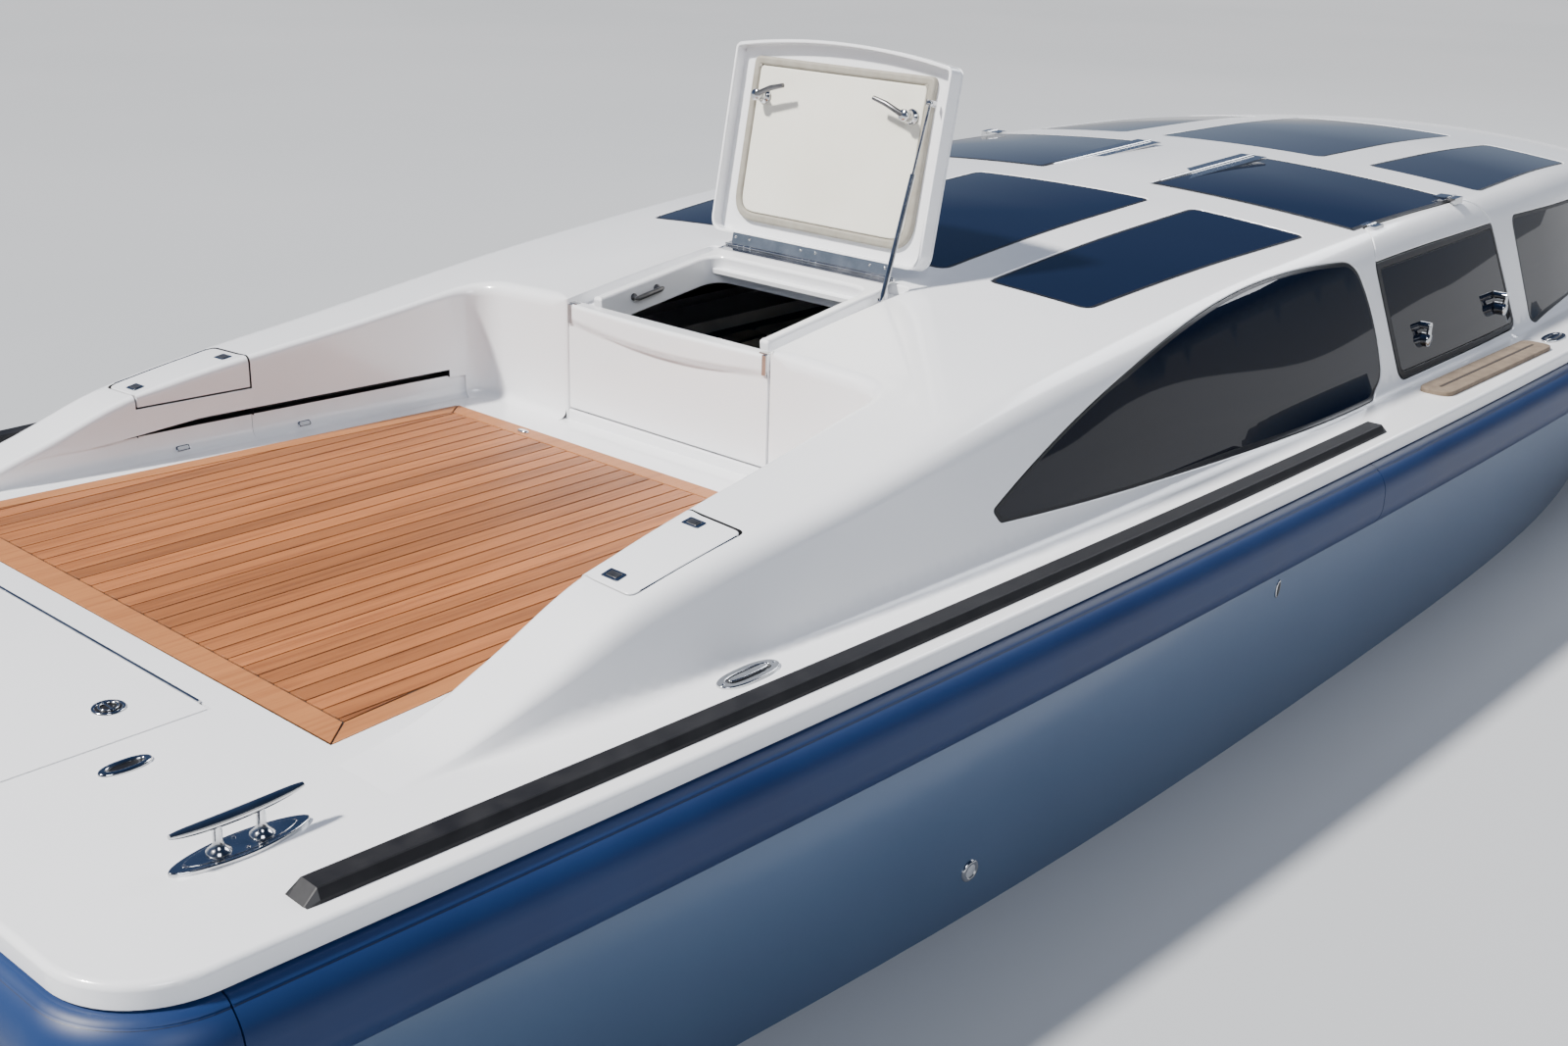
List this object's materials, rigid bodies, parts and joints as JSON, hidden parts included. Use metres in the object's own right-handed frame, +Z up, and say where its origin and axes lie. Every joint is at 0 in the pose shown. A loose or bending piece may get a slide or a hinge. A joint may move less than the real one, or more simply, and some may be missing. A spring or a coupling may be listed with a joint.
{
  "type": "limousine tender, an enclosed-cabin power boat",
  "caption": "Enclosed-cabin power boat with an aft teak cockpit, raised companionway lid, roof flaps with hanging side doors and a rounded fender collar.",
  "frame": {"origin": "on the centreline at the waterline, amidships", "axes": "+X forward to the bow, +Y to port, +Z up"},
  "size_m": [9.2317, 2.666, 2.4392],
  "materials": {
    "white_gelcoat": "polished gelcoat",
    "topside_paint": "metallic grey-blue paint",
    "collar_navy": "coated foam fender, satin navy",
    "teak": "bare teak with dark caulking",
    "tinted_glass": "dark tinted glass",
    "stainless": "polished stainless steel",
    "black_rubber": "extruded rub rail",
    "step_tread": "non-slip tread",
    "cabin_trim": "painted trim",
    "cabin_carpet": "short-pile carpet",
    "upholstery": "light marine vinyl",
    "wheel_grip": "stitched grip",
    "engine": "painted castings",
    "drive_paint": "dark drive paint",
    "propeller_bronze": "nickel aluminium bronze"
  },
  "bodies": {
    "root": {"hull": "topside_paint", "engine_block": "engine", "collar_stern": "collar_navy", "collar_aft_starboard": "collar_navy", "collar_aft_port": "collar_navy", "collar_fore_starboard": "collar_navy", "collar_fore_port": "collar_navy", "deck": "white_gelcoat", "teak_deck": "teak", "cabin_shell": "white_gelcoat", "coaming_starboard": "white_gelcoat", "coaming_port": "white_gelcoat", "side_glass": "tinted_glass", "roof_glass": "tinted_glass", "windscreen": "tinted_glass", "hatch_rim": "white_gelcoat", "entry_hinges": "stainless", "spine_hinges": "stainless", "deck_hinges": "stainless", "rub_strips": "black_rubber", "step_pads": "step_tread", "stern_cleats": "stainless", "popup_cleats": "stainless", "deck_fairleads": "stainless", "bow_eye": "stainless", "cabin_sole": "cabin_carpet", "bench_bases": "cabin_trim", "bench_cushions": "upholstery", "helm_seat_base": "cabin_trim", "helm_seat": "upholstery", "helm_console": "cabin_trim", "drive_mounts": "drive_paint"},
    "hatch_lid": {"hatch_lid": "white_gelcoat", "lid_fittings": "stainless"},
    "stay_cylinder": {"stay_cylinder": "stainless"},
    "stay_rod": {"stay_rod": "stainless"},
    "companionway_door": {"companionway_door": "white_gelcoat"},
    "platform_hatch": {"platform_hatch": "white_gelcoat", "hatch_ring": "stainless"},
    "steering_wheel": {"steering_wheel": "wheel_grip"},
    "locker_lid_starboard": {"locker_lid_starboard": "white_gelcoat"},
    "roof_flap_starboard": {"roof_flap_starboard": "white_gelcoat", "roof_flap_glass_starboard": "tinted_glass", "flap_fittings_starboard": "stainless"},
    "side_door_starboard": {"side_door_starboard": "white_gelcoat", "side_door_glass_starboard": "tinted_glass", "door_fittings_starboard": "stainless"},
    "drive_starboard": {"drive_leg_starboard": "drive_paint"},
    "propeller_starboard": {"propeller_starboard": "propeller_bronze"},
    "locker_lid_port": {"locker_lid_port": "white_gelcoat"},
    "roof_flap_port": {"roof_flap_port": "white_gelcoat", "roof_flap_glass_port": "tinted_glass", "flap_fittings_port": "stainless"},
    "side_door_port": {"side_door_port": "white_gelcoat", "side_door_glass_port": "tinted_glass", "door_fittings_port": "stainless"},
    "drive_port": {"drive_leg_port": "drive_paint"},
    "propeller_port": {"propeller_port": "propeller_bronze"}
  },
  "joints": [
    {"name": "hatch_lid_hinge", "type": "hinge", "parent": "root", "child": "hatch_lid", "pos_m": [-1.88, 0, 1.172], "axis": [0, 1, 0], "range_deg": [-109, 0]},
    {"name": "stay_swing", "type": "hinge", "parent": "root", "child": "stay_cylinder", "pos_m": [-1.97, -0.332, 1.132], "axis": [0, 1, 0], "range_deg": [-114.6, 0.1]},
    {"name": "stay_slide", "type": "slide", "parent": "stay_cylinder", "child": "stay_rod", "axis": [0.3155, 0, 0.9489], "range_m": [-0.1555, 0.0002]},
    {"name": "companionway_door_hinge", "type": "hinge", "parent": "root", "child": "companionway_door", "pos_m": [-2.411, 0, 0.801], "axis": [0, 1, 0], "range_deg": [-90, 0]},
    {"name": "platform_hatch_hinge", "type": "hinge", "parent": "root", "child": "platform_hatch", "pos_m": [-4.0325, 0, 0.7622], "axis": [0, 1, 0], "range_deg": [0, 90]},
    {"name": "steering_wheel_turn", "type": "hinge", "parent": "root", "child": "steering_wheel", "pos_m": [1.63, -0.25, 0.61], "axis": [-0.9063, 0, 0.4226], "range_deg": [-540, 540]},
    {"name": "roof_flap_starboard_hinge", "type": "hinge", "parent": "root", "child": "roof_flap_starboard", "pos_m": [-0.414, -0.2025, 1.2559], "axis": [-0.9993, 0, -0.0377], "range_deg": [0, 80]},
    {"name": "side_door_starboard_hinge", "type": "hinge", "parent": "roof_flap_starboard", "child": "side_door_starboard", "pos_m": [-0.4, -0.8955, 1.2128], "axis": [-0.9996, 0, -0.0291], "range_deg": [0, 70]},
    {"name": "locker_lid_starboard_hinge", "type": "hinge", "parent": "root", "child": "locker_lid_starboard", "pos_m": [-3.41515, -0.9325, 0.92199], "axis": [0.9881, 0, 0.1541], "range_deg": [0, 95]},
    {"name": "drive_starboard_steer", "type": "hinge", "parent": "root", "child": "drive_starboard", "pos_m": [-4.2, -0.42, 0], "axis": [0, 0, 1], "range_deg": [-28, 28]},
    {"name": "propeller_starboard_spin", "type": "hinge", "parent": "drive_starboard", "child": "propeller_starboard", "pos_m": [-4.52, -0.42, -0.56], "axis": [1, 0, 0], "continuous": true},
    {"name": "roof_flap_port_hinge", "type": "hinge", "parent": "root", "child": "roof_flap_port", "pos_m": [-0.414, 0.2025, 1.2559], "axis": [0.9993, 0, 0.0377], "range_deg": [0, 80]},
    {"name": "side_door_port_hinge", "type": "hinge", "parent": "roof_flap_port", "child": "side_door_port", "pos_m": [-0.4, 0.8955, 1.2128], "axis": [0.9996, 0, 0.0291], "range_deg": [0, 70]},
    {"name": "locker_lid_port_hinge", "type": "hinge", "parent": "root", "child": "locker_lid_port", "pos_m": [-3.41515, 0.9325, 0.92199], "axis": [-0.9881, 0, -0.1541], "range_deg": [0, 95]},
    {"name": "drive_port_steer", "type": "hinge", "parent": "root", "child": "drive_port", "pos_m": [-4.2, 0.42, 0], "axis": [0, 0, 1], "range_deg": [-28, 28]},
    {"name": "propeller_port_spin", "type": "hinge", "parent": "drive_port", "child": "propeller_port", "pos_m": [-4.52, 0.42, -0.56], "axis": [1, 0, 0], "continuous": true}
  ],
  "couplings": [
    {"joint": "stay_swing", "follows": "hatch_lid_hinge", "ratio": 1.0498},
    {"joint": "stay_slide", "follows": "hatch_lid_hinge", "m_per_rad": 0.081565},
    {"joint": "drive_port_steer", "follows": "drive_starboard_steer", "ratio": 1}
  ]
}
